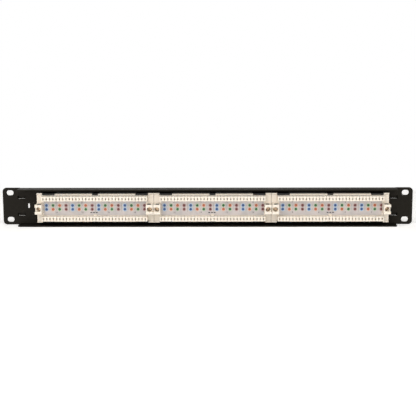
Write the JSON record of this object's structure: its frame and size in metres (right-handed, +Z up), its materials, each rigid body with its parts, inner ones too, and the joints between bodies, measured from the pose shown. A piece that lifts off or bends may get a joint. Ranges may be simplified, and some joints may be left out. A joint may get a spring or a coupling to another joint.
{
  "type": "rack-mount network patch panel",
  "caption": "One-unit folded steel patch panel with modular jack ports in front and cream punch-down terminal blocks behind.",
  "frame": {"origin": "middle of the four rack slots, in the ears' rear face that bears on the rack rails", "axes": "+X to the right as seen from the jacks, +Y from the jacks towards the terminal side, +Z up"},
  "size_m": [0.4826, 0.0335, 0.0436],
  "materials": {
    "powder_coat": "black powder coat, fine texture",
    "black_plastic": "moulded, satin",
    "insert_plastic": "moulded, satin",
    "cream_plastic": "moulded, satin",
    "gold_wire": "gold-plated spring bronze",
    "tinned_blade": "tin-plated bronze",
    "zinc_screw": "yellow zinc-plated steel",
    "board": "glass-epoxy board with green solder mask",
    "wiring_print": "printed film label",
    "white_label": "write-on film"
  },
  "bodies": {
    "panel_assembly": {"mounting_panel": "powder_coat", "module_screws": "zinc_screw", "snap_frame_1": "black_plastic", "jack_bodies_1": "black_plastic", "contact_inserts_1": "insert_plastic", "contact_leads_1": "gold_wire", "circuit_board_1": "board", "terminal_block_1": "cream_plastic", "terminal_contacts_1": "tinned_blade", "wiring_label_1": "wiring_print", "port_label_1": "white_label", "snap_frame_2": "black_plastic", "jack_bodies_2": "black_plastic", "contact_inserts_2": "insert_plastic", "contact_leads_2": "gold_wire", "circuit_board_2": "board", "terminal_block_2": "cream_plastic", "terminal_contacts_2": "tinned_blade", "wiring_label_2": "wiring_print", "port_label_2": "white_label", "snap_frame_3": "black_plastic", "jack_bodies_3": "black_plastic", "contact_inserts_3": "insert_plastic", "contact_leads_3": "gold_wire", "circuit_board_3": "board", "terminal_block_3": "cream_plastic", "terminal_contacts_3": "tinned_blade", "wiring_label_3": "wiring_print", "port_label_3": "white_label"},
    "port_01_springs": {"port_springs_01": "gold_wire"},
    "port_02_springs": {"port_springs_02": "gold_wire"},
    "port_03_springs": {"port_springs_03": "gold_wire"},
    "port_04_springs": {"port_springs_04": "gold_wire"},
    "port_05_springs": {"port_springs_05": "gold_wire"},
    "port_06_springs": {"port_springs_06": "gold_wire"},
    "port_07_springs": {"port_springs_07": "gold_wire"},
    "port_08_springs": {"port_springs_08": "gold_wire"},
    "port_09_springs": {"port_springs_09": "gold_wire"},
    "port_10_springs": {"port_springs_10": "gold_wire"},
    "port_11_springs": {"port_springs_11": "gold_wire"},
    "port_12_springs": {"port_springs_12": "gold_wire"},
    "port_13_springs": {"port_springs_13": "gold_wire"},
    "port_14_springs": {"port_springs_14": "gold_wire"},
    "port_15_springs": {"port_springs_15": "gold_wire"},
    "port_16_springs": {"port_springs_16": "gold_wire"},
    "port_17_springs": {"port_springs_17": "gold_wire"},
    "port_18_springs": {"port_springs_18": "gold_wire"},
    "port_19_springs": {"port_springs_19": "gold_wire"},
    "port_20_springs": {"port_springs_20": "gold_wire"},
    "port_21_springs": {"port_springs_21": "gold_wire"},
    "port_22_springs": {"port_springs_22": "gold_wire"},
    "port_23_springs": {"port_springs_23": "gold_wire"},
    "port_24_springs": {"port_springs_24": "gold_wire"}
  },
  "joints": [
    {"name": "port_01_contact_flex", "type": "hinge", "parent": "panel_assembly", "child": "port_01_springs", "pos_m": [-0.19639, -0.00312, 0.00432], "axis": [1, 0, 0], "range_deg": [0, 9], "stiffness_Nm_per_rad": 0.2, "springref_deg": -8.59},
    {"name": "port_02_contact_flex", "type": "hinge", "parent": "panel_assembly", "child": "port_02_springs", "pos_m": [-0.18115, -0.00312, 0.00432], "axis": [1, 0, 0], "range_deg": [0, 9], "stiffness_Nm_per_rad": 0.2, "springref_deg": -8.59},
    {"name": "port_03_contact_flex", "type": "hinge", "parent": "panel_assembly", "child": "port_03_springs", "pos_m": [-0.16591, -0.00312, 0.00432], "axis": [1, 0, 0], "range_deg": [0, 9], "stiffness_Nm_per_rad": 0.2, "springref_deg": -8.59},
    {"name": "port_04_contact_flex", "type": "hinge", "parent": "panel_assembly", "child": "port_04_springs", "pos_m": [-0.15067, -0.00312, 0.00432], "axis": [1, 0, 0], "range_deg": [0, 9], "stiffness_Nm_per_rad": 0.2, "springref_deg": -8.59},
    {"name": "port_05_contact_flex", "type": "hinge", "parent": "panel_assembly", "child": "port_05_springs", "pos_m": [-0.13543, -0.00312, 0.00432], "axis": [1, 0, 0], "range_deg": [0, 9], "stiffness_Nm_per_rad": 0.2, "springref_deg": -8.59},
    {"name": "port_06_contact_flex", "type": "hinge", "parent": "panel_assembly", "child": "port_06_springs", "pos_m": [-0.12019, -0.00312, 0.00432], "axis": [1, 0, 0], "range_deg": [0, 9], "stiffness_Nm_per_rad": 0.2, "springref_deg": -8.59},
    {"name": "port_07_contact_flex", "type": "hinge", "parent": "panel_assembly", "child": "port_07_springs", "pos_m": [-0.10495, -0.00312, 0.00432], "axis": [1, 0, 0], "range_deg": [0, 9], "stiffness_Nm_per_rad": 0.2, "springref_deg": -8.59},
    {"name": "port_08_contact_flex", "type": "hinge", "parent": "panel_assembly", "child": "port_08_springs", "pos_m": [-0.08971, -0.00312, 0.00432], "axis": [1, 0, 0], "range_deg": [0, 9], "stiffness_Nm_per_rad": 0.2, "springref_deg": -8.59},
    {"name": "port_09_contact_flex", "type": "hinge", "parent": "panel_assembly", "child": "port_09_springs", "pos_m": [-0.05969, -0.00312, 0.00432], "axis": [1, 0, 0], "range_deg": [0, 9], "stiffness_Nm_per_rad": 0.2, "springref_deg": -8.59},
    {"name": "port_10_contact_flex", "type": "hinge", "parent": "panel_assembly", "child": "port_10_springs", "pos_m": [-0.04445, -0.00312, 0.00432], "axis": [1, 0, 0], "range_deg": [0, 9], "stiffness_Nm_per_rad": 0.2, "springref_deg": -8.59},
    {"name": "port_11_contact_flex", "type": "hinge", "parent": "panel_assembly", "child": "port_11_springs", "pos_m": [-0.02921, -0.00312, 0.00432], "axis": [1, 0, 0], "range_deg": [0, 9], "stiffness_Nm_per_rad": 0.2, "springref_deg": -8.59},
    {"name": "port_12_contact_flex", "type": "hinge", "parent": "panel_assembly", "child": "port_12_springs", "pos_m": [-0.01397, -0.00312, 0.00432], "axis": [1, 0, 0], "range_deg": [0, 9], "stiffness_Nm_per_rad": 0.2, "springref_deg": -8.59},
    {"name": "port_13_contact_flex", "type": "hinge", "parent": "panel_assembly", "child": "port_13_springs", "pos_m": [0.00127, -0.00312, 0.00432], "axis": [1, 0, 0], "range_deg": [0, 9], "stiffness_Nm_per_rad": 0.2, "springref_deg": -8.59},
    {"name": "port_14_contact_flex", "type": "hinge", "parent": "panel_assembly", "child": "port_14_springs", "pos_m": [0.01651, -0.00312, 0.00432], "axis": [1, 0, 0], "range_deg": [0, 9], "stiffness_Nm_per_rad": 0.2, "springref_deg": -8.59},
    {"name": "port_15_contact_flex", "type": "hinge", "parent": "panel_assembly", "child": "port_15_springs", "pos_m": [0.03175, -0.00312, 0.00432], "axis": [1, 0, 0], "range_deg": [0, 9], "stiffness_Nm_per_rad": 0.2, "springref_deg": -8.59},
    {"name": "port_16_contact_flex", "type": "hinge", "parent": "panel_assembly", "child": "port_16_springs", "pos_m": [0.04699, -0.00312, 0.00432], "axis": [1, 0, 0], "range_deg": [0, 9], "stiffness_Nm_per_rad": 0.2, "springref_deg": -8.59},
    {"name": "port_17_contact_flex", "type": "hinge", "parent": "panel_assembly", "child": "port_17_springs", "pos_m": [0.07701, -0.00312, 0.00432], "axis": [1, 0, 0], "range_deg": [0, 9], "stiffness_Nm_per_rad": 0.2, "springref_deg": -8.59},
    {"name": "port_18_contact_flex", "type": "hinge", "parent": "panel_assembly", "child": "port_18_springs", "pos_m": [0.09225, -0.00312, 0.00432], "axis": [1, 0, 0], "range_deg": [0, 9], "stiffness_Nm_per_rad": 0.2, "springref_deg": -8.59},
    {"name": "port_19_contact_flex", "type": "hinge", "parent": "panel_assembly", "child": "port_19_springs", "pos_m": [0.10749, -0.00312, 0.00432], "axis": [1, 0, 0], "range_deg": [0, 9], "stiffness_Nm_per_rad": 0.2, "springref_deg": -8.59},
    {"name": "port_20_contact_flex", "type": "hinge", "parent": "panel_assembly", "child": "port_20_springs", "pos_m": [0.12273, -0.00312, 0.00432], "axis": [1, 0, 0], "range_deg": [0, 9], "stiffness_Nm_per_rad": 0.2, "springref_deg": -8.59},
    {"name": "port_21_contact_flex", "type": "hinge", "parent": "panel_assembly", "child": "port_21_springs", "pos_m": [0.13797, -0.00312, 0.00432], "axis": [1, 0, 0], "range_deg": [0, 9], "stiffness_Nm_per_rad": 0.2, "springref_deg": -8.59},
    {"name": "port_22_contact_flex", "type": "hinge", "parent": "panel_assembly", "child": "port_22_springs", "pos_m": [0.15321, -0.00312, 0.00432], "axis": [1, 0, 0], "range_deg": [0, 9], "stiffness_Nm_per_rad": 0.2, "springref_deg": -8.59},
    {"name": "port_23_contact_flex", "type": "hinge", "parent": "panel_assembly", "child": "port_23_springs", "pos_m": [0.16845, -0.00312, 0.00432], "axis": [1, 0, 0], "range_deg": [0, 9], "stiffness_Nm_per_rad": 0.2, "springref_deg": -8.59},
    {"name": "port_24_contact_flex", "type": "hinge", "parent": "panel_assembly", "child": "port_24_springs", "pos_m": [0.18369, -0.00312, 0.00432], "axis": [1, 0, 0], "range_deg": [0, 9], "stiffness_Nm_per_rad": 0.2, "springref_deg": -8.59}
  ]
}
